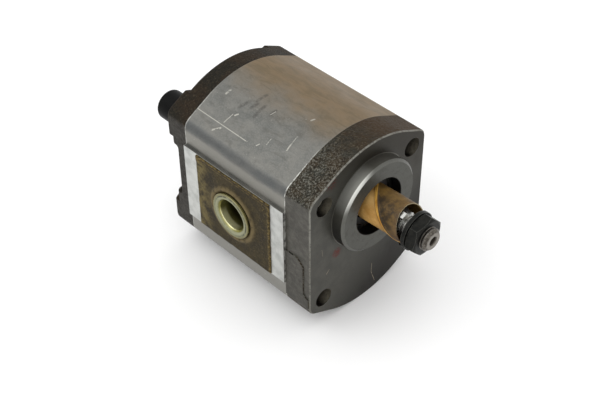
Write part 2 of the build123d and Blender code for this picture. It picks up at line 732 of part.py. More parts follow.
export_step(drive_gear_shaft.part, "parts/drive_gear_shaft.step")
export_step(driven_gear_shaft.part, "parts/driven_gear_shaft.step")
export_step(paper_sleeve.part, "parts/paper_sleeve.step")
export_step(spring_washer.part, "parts/spring_washer.step")
export_step(hex_nut.part, "parts/hex_nut.step")
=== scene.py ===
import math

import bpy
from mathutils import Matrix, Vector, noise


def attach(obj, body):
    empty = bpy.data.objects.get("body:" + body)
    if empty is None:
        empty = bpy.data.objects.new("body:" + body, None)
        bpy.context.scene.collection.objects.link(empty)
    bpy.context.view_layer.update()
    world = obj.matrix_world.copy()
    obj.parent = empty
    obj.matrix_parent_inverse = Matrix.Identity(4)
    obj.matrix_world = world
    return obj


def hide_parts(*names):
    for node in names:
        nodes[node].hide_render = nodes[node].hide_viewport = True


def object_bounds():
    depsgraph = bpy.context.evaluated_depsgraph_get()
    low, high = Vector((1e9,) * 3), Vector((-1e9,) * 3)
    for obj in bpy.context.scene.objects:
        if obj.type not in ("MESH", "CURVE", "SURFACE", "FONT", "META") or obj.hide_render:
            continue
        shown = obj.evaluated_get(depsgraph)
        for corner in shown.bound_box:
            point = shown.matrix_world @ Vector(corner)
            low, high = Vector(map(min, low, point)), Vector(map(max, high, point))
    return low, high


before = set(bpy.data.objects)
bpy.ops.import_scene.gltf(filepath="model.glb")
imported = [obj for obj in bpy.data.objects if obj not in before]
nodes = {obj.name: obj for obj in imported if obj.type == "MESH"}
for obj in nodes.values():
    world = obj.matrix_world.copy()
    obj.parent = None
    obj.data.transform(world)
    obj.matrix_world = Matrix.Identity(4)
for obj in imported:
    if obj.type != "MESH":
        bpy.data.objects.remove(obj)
cad_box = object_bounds()

# Looks of the hydraulic gear pump. Objects are in metres in the CAD's frame: +X along the drive
# shaft, +Z up, ports on -Y and +Y. Sizes written here are millimetres, multiplied by MM where a
# mesh or the camera is placed; only the floor and the light are in metres. Materials read the
# object's own coordinates in millimetres.

MM = 0.001
scene = bpy.context.scene

# ---------------------------------------------------------------- camera
CAMERA_AZIMUTH = math.radians(45.65)
CAMERA_ELEVATION = math.radians(42.43)
CAMERA_ROLL = math.radians(-0.527)
CAMERA_DISTANCE = 573.8
CAMERA_SIDE = -32.55  # the line of sight passes this far from the pilot's centre
CAMERA_LIFT = -0.26
CAMERA_LENS = 72.36


def make_camera():
    a, e, r = CAMERA_AZIMUTH, CAMERA_ELEVATION, CAMERA_ROLL
    back = Vector((math.sin(a) * math.cos(e), -math.cos(a) * math.cos(e), math.sin(e)))
    level = Vector((math.cos(a), math.sin(a), 0))
    upright = back.cross(level)
    right = level * math.cos(r) + upright * math.sin(r)
    up = upright * math.cos(r) - level * math.sin(r)
    data = bpy.data.cameras.new("camera")
    data.lens = CAMERA_LENS
    data.clip_start = 0.01
    camera = bpy.data.objects.new("camera", data)
    scene.collection.objects.link(camera)
    place = (right * CAMERA_SIDE + up * CAMERA_LIFT + back * CAMERA_DISTANCE) * MM
    camera.matrix_world = Matrix.Translation(place) @ Matrix((right, up, back)).transposed().to_4x4()
    scene.camera = camera


# ---------------------------------------------------------------- materials


def srgb(*channels):
    """A colour given as 0 to 255 display values."""
    linear = [((c / 255 + 0.055) / 1.055) ** 2.4 if c > 10 else c / 255 / 12.92 for c in channels]
    return (*linear, 1.0)


class Finish:
    """One material, with short names for the nodes it is made of."""

    def __init__(self, name, metallic=0.0, **constants):
        self.material = bpy.data.materials.new(name)
        self.material.use_nodes = True
        self.tree = self.material.node_tree
        self.shader = self.tree.nodes["Principled BSDF"]
        self.shader.inputs["Metallic"].default_value = metallic
        for socket, value in constants.items():
            self.shader.inputs[socket.replace("_", " ")].default_value = value
        coordinates = self.tree.nodes.new("ShaderNodeTexCoord")
        self.facing_vector = coordinates.outputs["Normal"]
        self.facing = self.split(self.facing_vector)
        self.place = self.vector("SCALE", coordinates.outputs["Object"], scale=1 / MM)
        self.x, self.y, self.z = self.split(self.place)
        self.last_bump = None

    def feed(self, socket, value):
        if isinstance(value, bpy.types.NodeSocket):
            self.tree.links.new(value, socket)
        elif value is not None:
            socket.default_value = value

    def split(self, vector):
        node = self.tree.nodes.new("ShaderNodeSeparateXYZ")
        self.feed(node.inputs[0], vector)
        return tuple(node.outputs)

    def vector(self, operation, a, b=None, scale=None):
        node = self.tree.nodes.new("ShaderNodeVectorMath")
        node.operation = operation
        self.feed(node.inputs[0], a)
        if b is not None:
            self.feed(node.inputs[1], b)
        if scale is not None:
            self.feed(node.inputs["Scale"], scale)
        return node.outputs["Value" if operation in ("LENGTH", "DOT_PRODUCT") else "Vector"]

    def math(self, operation, a, b=None, c=None):
        node = self.tree.nodes.new("ShaderNodeMath")
        node.operation = operation
        for socket, value in zip(node.inputs, (a, b, c)):
            self.feed(socket, value)
        return node.outputs[0]

    def add(self, a, b):
        return self.math("ADD", a, b)

    def times(self, a, b):
        return self.math("MULTIPLY", a, b)

    def either(self, *masks):
        result = masks[0]
        for mask in masks[1:]:
            result = self.math("MAXIMUM", result, mask)
        return result

    def rest(self, mask):
        return self.math("SUBTRACT", 1.0, mask)

    def step(self, value, low, high):
        """0 at low and 1 at high, smooth between; low may be the larger."""
        node = self.tree.nodes.new("ShaderNodeMapRange")
        node.interpolation_type = "SMOOTHSTEP"
        self.feed(node.inputs["Value"], value)
        node.inputs["From Min"].default_value = min(low, high)
        node.inputs["From Max"].default_value = max(low, high)
        node.inputs["To Min"].default_value = 0.0 if low < high else 1.0
        node.inputs["To Max"].default_value = 1.0 if low < high else 0.0
        return node.outputs["Result"]

    def band(self, value, low, high, soft):
        """1 between low and high, fading over soft on either side of each."""
        rise = self.step(value, low - soft, low + soft)
        return self.times(rise, self.step(value, high + soft, high - soft))

    def hypot(self, a, b):
        return self.math("SQRT", self.add(self.times(a, a), self.times(b, b)))

    def from_shaft(self):
        """Distance from the drive shaft's axis."""
        return self.hypot(self.y, self.z)

    def from_port(self):
        """Offsets along and up from a port's middle, and the distance they make."""
        across = self.math("SUBTRACT", self.x, PORT_X)
        up = self.math("SUBTRACT", self.z, PORT_Z)
        return across, up, self.hypot(across, up)

    def noise(self, size, detail=3.0, roughness=0.55, stretch=(1, 1, 1), place=None, distortion=0.0):
        """Noise with features about `size` across, longer where stretch is above 1."""
        scaled = self.vector("MULTIPLY", place or self.place, tuple(1 / (size * s) for s in stretch))
        node = self.tree.nodes.new("ShaderNodeTexNoise")
        self.feed(node.inputs["Vector"], scaled)
        node.inputs["Scale"].default_value = 1.0
        node.inputs["Detail"].default_value = detail
        node.inputs["Roughness"].default_value = roughness
        node.inputs["Distortion"].default_value = distortion
        return node.outputs["Fac"]

    def cells(self, size, place=None):
        scaled = self.vector("SCALE", place or self.place, scale=1 / size)
        node = self.tree.nodes.new("ShaderNodeTexVoronoi")
        self.feed(node.inputs["Vector"], scaled)
        node.inputs["Scale"].default_value = 1.0
        return node.outputs["Distance"]

    def rings(self, distance, pitch):
        """Turning marks that vary with one distance only."""
        node = self.tree.nodes.new("ShaderNodeCombineXYZ")
        self.feed(node.inputs["X"], distance)
        return self.noise(pitch, 2.0, 0.7, place=node.outputs[0])

    def mix(self, mask, a, b):
        node = self.tree.nodes.new("ShaderNodeMix")
        node.data_type = "RGBA"
        self.feed(node.inputs["Factor"], mask)
        self.feed(node.inputs[6], a)
        self.feed(node.inputs[7], b)
        return node.outputs[2]

    def blend(self, mask, a, b):
        """A number between a and b."""
        node = self.tree.nodes.new("ShaderNodeMix")
        self.feed(node.inputs["Factor"], mask)
        self.feed(node.inputs["A"], a)
        self.feed(node.inputs["B"], b)
        return node.outputs["Result"]

    def spot(self, centre, radius, soft):
        away = self.vector("LENGTH", self.vector("SUBTRACT", self.place, centre))
        return self.step(away, radius + soft, max(radius - soft, 0.0))

    def stroke(self, start, end, width):
        """A scratch from start to end, tapering off at its sides."""
        start, end = Vector(start), Vector(end)
        run = end - start
        offset = self.vector("SUBTRACT", self.place, tuple(start))
        course = tuple(run.normalized())
        along = self.math("MINIMUM", self.vector("DOT_PRODUCT", offset, course), run.length)
        nearest = self.vector("SCALE", course, scale=self.math("MAXIMUM", along, 0.0))
        away = self.vector("LENGTH", self.vector("SUBTRACT", offset, nearest))
        return self.step(away, width, width * 0.3)

    def edges(self, radius, strength=1.0):
        """Lighter along sharp edges: worn by handling, and a painted highlight where an edge catches the
        light.
        """
        bevel = self.tree.nodes.new("ShaderNodeBevel")
        bevel.samples = 6
        bevel.inputs["Radius"].default_value = radius * MM
        flat = self.tree.nodes.new("ShaderNodeNewGeometry")
        agree = self.vector("DOT_PRODUCT", bevel.outputs["Normal"], flat.outputs["Normal"])
        return self.times(self.step(agree, 0.99, 0.86), strength)

    def colour(self, value):
        self.feed(self.shader.inputs["Base Color"], value)

    def roughness(self, value):
        self.feed(self.shader.inputs["Roughness"], value)

    def bump(self, height, depth):
        """Adds relief: height runs 0 to 1 over depth millimetres."""
        node = self.tree.nodes.new("ShaderNodeBump")
        node.inputs["Distance"].default_value = depth * MM
        self.feed(node.inputs["Height"], height)
        self.feed(node.inputs["Normal"], self.last_bump)
        self.last_bump = node.outputs["Normal"]
        self.feed(self.shader.inputs["Normal"], self.last_bump)

    def paint(self, *names):
        for name in names:
            nodes[name].data.materials.clear()
            nodes[name].data.materials.append(self.material)


PAD_FACE = 41.2  # distance of the port pads from the middle plane
PORT_X = -50.6
PORT_Z = -15.5  # also the middle of the mounting holes
HALF_HOLE_SQUARE = 30.0

# marks on top of the body and on the mounting face: start, end and width
BODY_SMUDGES = (
    ((-67, -20, 30.2), (-65, -15.5, 31.6), 1.5),
    ((-61.5, -17.5, 31), (-60.5, -14, 32), 1.3),
    ((-62, -13, 32.2), (-61, -7.5, 33.2), 1.3),
    ((-56.5, -20, 30), (-56.5, -13, 32.2), 1.4),
    ((-50.5, -15.5, 31.7), (-50, -12, 32.4), 1.2),
)
BODY_LONG_SCRATCH = ((-86, -30.7, 24.6), (-51, -31.0, 24.5), 0.34)
BODY_SCRATCHES = (
    ((-68, -29.5, 25.3), (-67, -24.5, 28), 0.32),
    ((-65.6, -24.4, 28), (-64.6, -23.2, 28.6), 0.6),
    ((-70.4, -35, 22.4), (-67.4, -32.4, 23.8), 0.75),
    ((-78.6, -18.2, 30.8), (-78.2, -15.6, 31.5), 0.8),
    ((-29.6, -24.8, 27.8), (-29.9, -22.0, 29.1), 0.55),
    ((-29.9, -22.0, 29.1), (-30.3, -17.2, 31.1), 0.28),
    ((-40.5, -27.5, 26.4), (-40.5, -24.5, 28), 0.3),
    ((-32, -6.4, 33.6), (-31.4, -4.8, 33.8), 0.6),
    ((-50.4, -15.4, 31.8), (-49.6, -12.6, 32.5), 0.35),
    ((-44.6, -30.2, 25), (-43.8, -29, 25.6), 0.45),
)
FACE_SCRATCHES = (  # the last number is how strong it is
    ((0, 4.6, -46.5), (0, 4.4, -52.5), 0.22, 0.7),
    ((0, 4.4, -52.5), (0, 7.2, -60.5), 0.22, 0.9),
    ((0, -28.2, -30.4), (0, -26.4, -28.6), 0.3, 0.8),
    ((0, -31.4, -12), (0, -30.8, -16.5), 0.16, 0.5),
)


def body_metal(f, mottle, fine):
    """The body's grey, wiped, smudged and browned with oil."""
    grey = f.mix(f.step(mottle, 0.3, 0.7), srgb(95, 96, 93), srgb(115, 114, 109))
    grey = f.mix(f.times(f.step(fine, 0.35, 0.75), 0.35), grey, srgb(134, 133, 128))
    wiped = f.noise(3.5, 5, 0.7, stretch=(3, 1, 1), distortion=0.6)
    grey = f.mix(f.times(f.step(wiped, 0.5, 0.68), 0.4), grey, srgb(80, 78, 73))
    grey = f.mix(f.times(f.step(wiped, 0.45, 0.3), 0.3), grey, srgb(132, 131, 126))
    # a brown tint on the far half of the top: an oil stain, and a painted warm reflection
    cloud = f.noise(26, 3, 0.6)
    top = f.step(f.facing[2], 0.1, 0.5)
    far = f.step(f.add(f.y, f.times(cloud, 30)), -4, 26)
    oil_stain_and_warm_reflection = f.mix(f.step(wiped, 0.4, 0.65), srgb(122, 102, 74), srgb(108, 92, 66))
    grey = f.mix(f.times(f.times(far, top), 0.9), grey, oil_stain_and_warm_reflection)
    smudges = f.either(*(f.stroke(*smudge) for smudge in BODY_SMUDGES))
    smudges = f.times(smudges, f.step(f.noise(2.2, 3, 0.7), 0.25, 0.6))
    grey = f.mix(f.times(smudges, 0.5), grey, srgb(62, 58, 56))
    # painted reflections along the near side: dark at the round corner, pale above and below the pad
    wavy_z = f.add(f.z, f.times(cloud, 3))
    corner = f.times(f.step(f.y, -35.5, -37.5), f.step(wavy_z, 17.0, 20.0))
    corner = f.times(corner, f.step(wavy_z, 24.0, 21.5))
    grey = f.mix(f.times(corner, 0.5), grey, srgb(70, 73, 76))
    pale_side_reflection = f.band(wavy_z, 9.5, 17.0, 1.2)
    grey = f.mix(f.times(f.times(f.step(f.y, -36.5, -38.5), pale_side_reflection), 0.75), grey, srgb(138, 136, 129))
    # painted reflection: the underside below the pad is paler
    under = f.times(f.step(f.y, -34, -37), f.step(f.z, -38.0, -39.5))
    return f.mix(f.times(under, 0.8), grey, srgb(142, 140, 134))


def body_scratches(f):
    """Marks from handling: one long scratch, short broken ones and small nicks."""
    long_scratch = f.times(f.stroke(*BODY_LONG_SCRATCH), f.step(f.noise(1.2, 2), 0.2, 0.4))
    dashes = f.step(f.noise(1.1, 2, 0.5), 0.36, 0.5)
    short_scratches = (f.times(f.stroke(*scratch), dashes) for scratch in BODY_SCRATCHES)
    nicks = f.times(f.step(f.noise(1.6, 2, 0.5), 0.735, 0.77), f.step(f.y, 0, -12))
    return f.either(long_scratch, *short_scratches, f.times(nicks, 0.6))


def body_finish():
    """Extruded aluminium: fine grain along X, handling scratches, an oil tint and bright milled pads."""
    f = Finish("body_alloy", metallic=0.8)
    grain = f.noise(0.5, 3, 0.6, stretch=(14, 1, 1))
    mottle = f.noise(9, 4, 0.6)
    fine = f.noise(0.7, 2, 0.7)
    # the milled pads, seen beside the cards
    pads = f.step(f.math("ABSOLUTE", f.y), PAD_FACE - 0.3, PAD_FACE - 0.05)
    milled = f.noise(0.9, 3, 0.6, stretch=(1, 1, 7))
    pale = f.mix(f.step(f.noise(5, 4, 0.6), 0.35, 0.75), srgb(190, 191, 187), srgb(160, 161, 157))
    pale = f.mix(f.times(f.step(milled, 0.6, 0.75), 0.25), pale, srgb(140, 140, 135))
    colour = f.mix(pads, body_metal(f, mottle, fine), pale)
    scratches = body_scratches(f)
    colour = f.mix(f.times(scratches, 0.65), colour, srgb(186, 184, 174))
    # lighter edges: wear, and a painted highlight
    colour = f.mix(f.edges(0.35, 0.4), colour, srgb(158, 158, 152))
    # bright lips where the body meets the covers, on the near side: worn edges, and a painted highlight
    lip = f.either(f.step(f.x, -16.6, -16.3), f.times(f.step(f.x, -85.3, -85.7), 0.5))
    lip = f.times(f.times(lip, f.step(f.y, -14, -26)), f.step(f.noise(2.5, 3, 0.7), 0.35, 0.6))
    colour = f.mix(f.times(lip, f.step(f.y, -PAD_FACE + 0.05, -PAD_FACE + 0.5)), colour, srgb(196, 196, 190))
    f.colour(colour)
    f.roughness(f.blend(pads, f.blend(f.step(mottle, 0.3, 0.7), 0.44, 0.52), 0.36))
    f.bump(grain, 0.02)
    f.bump(fine, 0.035)
    f.bump(scratches, -0.06)
    f.paint("pump_body")


def cast_look(f, dark, brown, speck):
    """As-cast iron skin: coarse pits, brown staining and rubbed high spots."""
    coarse = f.noise(1.9, 5, 0.68)
    pits = f.cells(1.3)
    stain = f.noise(14, 4, 0.6)
    skin = f.mix(f.step(stain, 0.35, 0.65), dark, brown)
    skin = f.mix(f.times(f.step(coarse, 0.55, 0.3), 0.65), skin, srgb(14, 11, 8))
    high = f.step(f.noise(1.0, 4, 0.7), 0.52, 0.66)
    skin = f.mix(f.times(high, 0.6), skin, speck)
    return skin, coarse, pits


def front_casting(f, sides):
    """The cast rim, specked on the near side and brown on the far one, and the ground sides."""
    skin, coarse, pits = cast_look(f, srgb(48, 48, 42), srgb(56, 46, 33), srgb(98, 92, 78))
    near = f.step(f.y, -4, -24)
    specks = f.times(f.step(f.noise(0.95, 4, 0.75), 0.5, 0.6), near)
    skin = f.mix(f.times(specks, 0.5), skin, srgb(138, 137, 128))
    skin = f.mix(f.times(f.step(f.y, -12, 18), 0.65), skin, srgb(62, 44, 23))
    ground = f.mix(f.step(f.noise(3.5, 4, 0.65), 0.35, 0.7), srgb(68, 66, 61), srgb(86, 84, 78))
    streaks = f.step(f.noise(0.8, 3, 0.6, stretch=(5, 1, 1)), 0.52, 0.7)
    ground = f.mix(f.times(streaks, 0.3), ground, srgb(46, 43, 38))
    cast_pad = f.times(f.step(f.y, -39.6, -39.8), f.step(f.noise(1.2, 4, 0.6), 0.4, 0.62))
    ground = f.mix(f.times(cast_pad, 0.3), ground, srgb(52, 49, 43))
    return f.mix(sides, skin, ground), coarse, pits


def mounting_face(f, wipe):
    """Machined grey with two rust spots and a few scratches, painted darker and browner away from the light
    as shade.
    """
    grey = f.mix(f.step(wipe, 0.3, 0.7), srgb(64, 63, 58), srgb(76, 75, 69))
    grey = f.mix(f.times(f.step(f.noise(0.6, 3, 0.7), 0.5, 0.68), 0.28), grey, srgb(46, 43, 38))
    # painted shade: darker and browner towards the far side and the bottom
    low = f.step(f.add(f.math("SUBTRACT", f.y, f.z), f.times(wipe, 26)), 30, 86)
    grey = f.mix(f.times(low, 0.92), grey, srgb(23, 20, 15))
    # painted shade: darker and browner towards the top
    high = f.step(f.add(f.add(f.z, f.times(f.y, 0.5)), f.times(wipe, 20)), 14, 44)
    grey = f.mix(f.times(high, 0.9), grey, srgb(38, 34, 26))
    rust = f.times(f.spot((0, -21.3, -20.6), 2.6, 1.3), f.step(f.noise(1.3, 3, 0.7), 0.35, 0.55))
    rust = f.either(rust, f.times(f.spot((0, -25.5, 25.5), 3.0, 1.8), f.step(f.noise(0.9, 3), 0.48, 0.6)))
    grey = f.mix(f.times(rust, 0.9), grey, srgb(86, 30, 22))
    scratches = f.either(*(f.times(f.stroke(*line), strength) for *line, strength in FACE_SCRATCHES))
    scratches = f.times(scratches, f.step(f.noise(1.0, 2), 0.3, 0.5))
    return f.mix(scratches, grey, srgb(150, 138, 118))


def pilot_steel(f, radius, turned, lit):
    """The turned pilot, pale on the side of its cylinder that is lit."""
    steel = f.mix(f.step(turned, 0.3, 0.7), srgb(70, 70, 65), srgb(84, 84, 79))
    steel = f.mix(f.times(f.step(f.noise(2.6, 4, 0.6), 0.48, 0.7), 0.4), steel, srgb(54, 51, 45))
    cylinder = f.times(f.step(f.facing[0], 0.5, 0.1), f.step(radius, 24, 24.5))
    shade = f.mix(f.step(f.z, -9, 14), srgb(31, 30, 27), srgb(72, 70, 64))
    return f.mix(f.times(cylinder, 0.85), steel, f.mix(lit, shade, srgb(138, 138, 132)))


def front_finish():
    """Cast iron front cover: cast rim, ground sides, turned pilot and machined mounting face."""
    f = Finish("front_cast", metallic=0.6, Specular_IOR_Level=0.2)
    radius = f.from_shaft()
    wipe = f.noise(7, 4, 0.6)
    sides = f.step(f.math("ABSOLUTE", f.facing[1]), 0.93, 0.995)
    colour, coarse, pits = front_casting(f, sides)
    face = f.times(f.step(f.facing[0], 0.85, 0.95), f.step(f.x, -0.3, -0.05))
    colour = f.mix(face, colour, mounting_face(f, wipe))
    # the pilot, its rim with a painted highlight on the lit side, and the line at its foot
    pilot = f.times(f.step(f.x, 0.05, 0.15), f.step(radius, 25.4, 25.1))
    turned = f.rings(f.blend(f.step(f.facing[0], 0.5, 0.9), f.x, radius), 0.28)
    lit = f.step(f.vector("DOT_PRODUCT", f.place, (0, -0.64, 0.77)), 20.5, 25)
    colour = f.mix(pilot, colour, pilot_steel(f, radius, turned, lit))
    # painted highlight on the pilot's chamfer, strongest on the lit side
    slanted = f.band(f.facing[0], 0.35, 0.85, 0.1)
    rim = f.times(f.times(slanted, f.step(f.x, 5.0, 5.6)), f.blend(lit, 0.35, 1.0))
    colour = f.mix(rim, colour, f.mix(lit, srgb(116, 116, 111), srgb(214, 214, 208)))
    foot = f.times(f.band(radius, 25.05, 25.35, 0.12), f.step(f.x, 0.12, 0.05))
    colour = f.mix(f.times(foot, 0.7), colour, srgb(128, 126, 118))
    # the mounting holes' walls in painted shade, with a painted reflection on the walls facing -Y; the
    # border of the face; the shaft's bore in painted shade
    hole_y = f.math("SUBTRACT", f.math("ABSOLUTE", f.y), HALF_HOLE_SQUARE)
    hole_z = f.math("SUBTRACT", f.math("ABSOLUTE", f.add(f.z, -PORT_Z)), HALF_HOLE_SQUARE)
    from_hole = f.hypot(hole_y, hole_z)
    hole_wall_shade_and_glint = f.times(f.step(from_hole, 5.6, 5.4), f.step(f.x, -0.1, -0.4))
    glint = f.times(f.step(f.facing[1], 0.2, -0.7), f.step(f.x, -7.5, -2.0))
    colour = f.mix(hole_wall_shade_and_glint, colour, f.mix(glint, srgb(20, 17, 13), srgb(112, 107, 94)))
    border = f.times(f.times(slanted, f.step(f.x, -0.75, -0.6)), f.step(f.x, 0.2, 0.1))
    border = f.times(border, f.blend(f.step(f.noise(1.8, 3, 0.65), 0.35, 0.55), 0.5, 1.0))
    # the border's pale chamfer, stronger towards the top as a painted highlight
    colour = f.mix(f.times(border, f.blend(f.step(f.z, -20, 5), 0.5, 0.8)), colour, srgb(134, 133, 126))
    # painted shade inside the shaft's bore
    bore_in_shade = f.times(f.step(radius, 15.75, 15.6), f.step(f.facing[0], 0.9, 0.6))
    colour = f.mix(bore_in_shade, colour, srgb(18, 15, 12))
    # lighter edges: wear, and a painted highlight
    worn = f.times(f.edges(0.3, 0.3), f.rest(bore_in_shade))
    colour = f.mix(worn, colour, srgb(130, 130, 122))
    f.colour(colour)
    machined = f.either(face, pilot, f.times(sides, 0.85), border)
    f.roughness(f.blend(machined, f.blend(coarse, 0.5, 0.75), f.blend(wipe, 0.36, 0.5)))
    rough_skin = f.rest(machined)
    f.bump(f.times(coarse, rough_skin), 0.8)
    f.bump(f.times(pits, rough_skin), 0.22)
    f.bump(f.times(turned, pilot), 0.02)
    f.bump(f.noise(0.5, 3, 0.6), 0.018)
    f.paint("front_cover")


def rear_finish():
    """Rear cover, cast all over and darker than the front one."""
    f = Finish("rear_cast", metallic=0.45, Specular_IOR_Level=0.15)
    skin, coarse, pits = cast_look(f, srgb(34, 32, 26), srgb(46, 37, 27), srgb(70, 62, 50))
    sides = f.times(f.step(f.facing[1], -0.9, -0.99), 0.8)
    ground = f.mix(f.step(f.noise(2.4, 4, 0.6), 0.35, 0.65), srgb(54, 52, 49), srgb(72, 70, 66))
    skin = f.mix(sides, skin, ground)
    # lighter edges: wear, and a painted highlight
    colour = f.mix(f.edges(0.35, 0.2), skin, srgb(90, 86, 78))
    f.colour(colour)
    f.roughness(f.blend(coarse, 0.55, 0.82))
    f.bump(coarse, 0.5)
    f.bump(pits, 0.15)
    f.bump(f.noise(0.45, 3, 0.6), 0.05)
    f.paint("rear_cover")


def black_finish():
    """Black-oxide steel, grey along its edges: rubbed, and a painted highlight."""
    f = Finish("black_steel", metallic=0.7, Specular_IOR_Level=0.25)
    patch = f.noise(2.4, 4, 0.65)
    colour = f.mix(f.step(patch, 0.35, 0.7), srgb(20, 21, 19), srgb(34, 34, 31))
    colour = f.mix(f.times(f.step(f.noise(0.8, 3, 0.7), 0.56, 0.68), 0.3), colour, srgb(56, 49, 40))
    # lighter edges: wear, and a painted highlight
    colour = f.mix(f.edges(0.3, 0.6), colour, srgb(118, 118, 112))
    f.colour(colour)
    f.roughness(f.blend(patch, 0.34, 0.56))
    f.bump(f.noise(0.6, 3, 0.6), 0.04)
    f.paint("hex_nut", "spring_washer", "retaining_ring")


def bolt_finish():
    """The left-over socket screw: smooth black with a soft shine."""
    f = Finish("screw_black", metallic=0.0, Specular_IOR_Level=0.07)
    patch = f.noise(5, 4, 0.6)
    colour = f.mix(f.step(patch, 0.35, 0.7), srgb(6, 6, 6), srgb(12, 12, 11))
    # lighter edges: wear, and a painted highlight
    colour = f.mix(f.edges(0.3, 0.2), colour, srgb(50, 50, 47))
    tip = f.step(f.x, -40, -20)
    colour = f.mix(tip, colour, srgb(120, 118, 108))
    f.colour(colour)
    f.roughness(f.blend(f.noise(1.2, 3), 0.3, 0.5))
    f.bump(f.noise(0.8, 3, 0.6), 0.03)
    f.paint("through_bolt")


def shaft_finish():
    """Ground shafts, bright on the taper and the key, brown-grey on the threaded end."""
    f = Finish("ground_steel", metallic=0.95)
    rings = f.rings(f.x, 0.35)
    film = f.noise(3, 4, 0.6)
    bright = f.mix(f.step(rings, 0.3, 0.7), srgb(176, 177, 175), srgb(206, 206, 202))
    bright = f.mix(f.times(f.step(film, 0.5, 0.72), 0.5), bright, srgb(128, 118, 100))
    end = f.step(f.x, 26.2, 27.2)
    brown = f.mix(f.step(f.noise(1.4, 4, 0.65), 0.35, 0.65), srgb(68, 64, 58), srgb(106, 101, 94))
    radius = f.from_shaft()
    roots = f.times(f.step(radius, 5.75, 5.35), f.step(f.x, 39.2, 38.8))
    brown = f.mix(roots, brown, srgb(34, 28, 22))
    tip = f.times(f.band(radius, 2.7, 4.4, 0.4), f.step(f.x, 39.6, 40.2))
    brown = f.mix(f.times(tip, 0.6), brown, srgb(150, 145, 137))
    centre = f.times(f.step(radius, 2.5, 2.0), f.step(f.x, 36, 38))
    brown = f.mix(centre, brown, srgb(36, 32, 28))
    colour = f.mix(end, bright, brown)
    # lighter edges: wear, and a painted highlight
    colour = f.mix(f.edges(0.25, 0.5), colour, srgb(214, 212, 205))
    f.colour(colour)
    f.roughness(f.blend(end, f.blend(film, 0.2, 0.34), 0.42))
    f.bump(rings, 0.012)
    f.bump(f.noise(0.7, 3, 0.6), 0.02)
    f.paint("drive_gear_shaft", "driven_gear_shaft", "woodruff_key", "dowel_pins", "garter_spring")


def plug_finish():
    """Yellow-passivated steel plugs with an oily film, a painted highlight on the bowl's lit wall and
    painted shade deeper in the bowl.
    """
    f = Finish("plug_metal", metallic=0.85)
    depth = f.math("ABSOLUTE", f.y)
    patch = f.noise(3, 4, 0.6)
    rim = f.mix(f.step(patch, 0.35, 0.7), srgb(112, 113, 87), srgb(132, 133, 106))
    across, up, from_port = f.from_port()
    rim = f.mix(f.times(f.band(from_port, 8.9, 10.6, 0.25), 0.6), rim, srgb(154, 154, 124))
    # painted shade: dark dashes near the flange's edge on the right and top, where the gap is in shadow
    painted_gap_shade = f.times(f.band(from_port, 10.9, 11.5, 0.2), f.step(f.noise(1.8, 3, 0.6), 0.4, 0.5))
    rim = f.mix(f.times(painted_gap_shade, f.step(f.add(across, up), -9, 4)), rim, srgb(44, 39, 24))
    rim = f.mix(f.times(f.step(from_port, 11.5, 11.9), 0.7), rim, srgb(124, 116, 74))
    bowl = f.mix(f.step(f.noise(4, 4, 0.6), 0.35, 0.65), srgb(132, 128, 76), srgb(158, 153, 92))
    # painted highlight on the bowl's wall that faces the light
    lit = f.step(f.math("DIVIDE", f.add(f.times(across, 0.5), f.times(up, 0.87)), from_port), -0.5, -0.9)
    bowl = f.mix(f.times(lit, f.band(depth, 39.2, 42.6, 0.6)), bowl, srgb(250, 247, 200))
    # painted shade deeper in the bowl
    deep = f.mix(f.step(depth, 40.5, 35.5), bowl, srgb(62, 58, 31))
    colour = f.mix(f.step(depth, 43.1, 43.5), deep, rim)
    colour = f.mix(f.times(f.step(f.noise(0.9, 3, 0.6), 0.58, 0.7), 0.35), colour, srgb(92, 86, 56))
    # lighter edges: wear, and a painted highlight
    colour = f.mix(f.edges(0.25, 0.4), colour, srgb(190, 188, 158))
    f.colour(colour)
    f.roughness(f.blend(patch, 0.26, 0.42))
    f.bump(f.noise(1.6, 4, 0.6), 0.05)
    f.paint("port_plug_a", "port_plug_b")


def alloy_finish():
    """Bearing blocks, die-cast and turned, wetted with oil."""
    f = Finish("block_alloy", metallic=0.9)
    film = f.noise(5, 4, 0.6)
    colour = f.mix(f.step(film, 0.35, 0.7), srgb(168, 167, 160), srgb(190, 189, 184))
    # lighter edges: wear, and a painted highlight
    colour = f.mix(f.edges(0.3, 0.5), colour, srgb(220, 220, 214))
    f.colour(colour)
    f.roughness(f.blend(film, 0.28, 0.42))
    f.bump(f.noise(0.7, 3, 0.6, stretch=(8, 1, 1)), 0.02)
    f.paint("bearing_block_front", "bearing_block_rear")


def bronze_finish():
    """Bearing bushes with a running film inside."""
    f = Finish("bush_bronze", metallic=0.95)
    film = f.noise(3, 4, 0.6)
    colour = f.mix(f.step(film, 0.35, 0.7), srgb(150, 112, 66), srgb(178, 140, 90))
    f.colour(colour)
    f.roughness(f.blend(film, 0.26, 0.42))
    f.bump(f.rings(f.x, 0.3), 0.015)
    f.paint("bushes_front", "bushes_rear")


def rubber_finish():
    """Nitrile seals, black and slightly oily."""
    f = Finish("seal_rubber", Specular_IOR_Level=0.4)
    film = f.noise(4, 4, 0.6)
    f.colour(f.mix(f.step(film, 0.35, 0.7), srgb(24, 22, 20), srgb(38, 35, 31)))
    f.roughness(f.blend(film, 0.42, 0.62))
    f.bump(f.noise(0.6, 3, 0.6), 0.03)
    f.paint("body_seal_front", "body_seal_rear", "balance_seal_front", "balance_seal_rear", "shaft_seal")


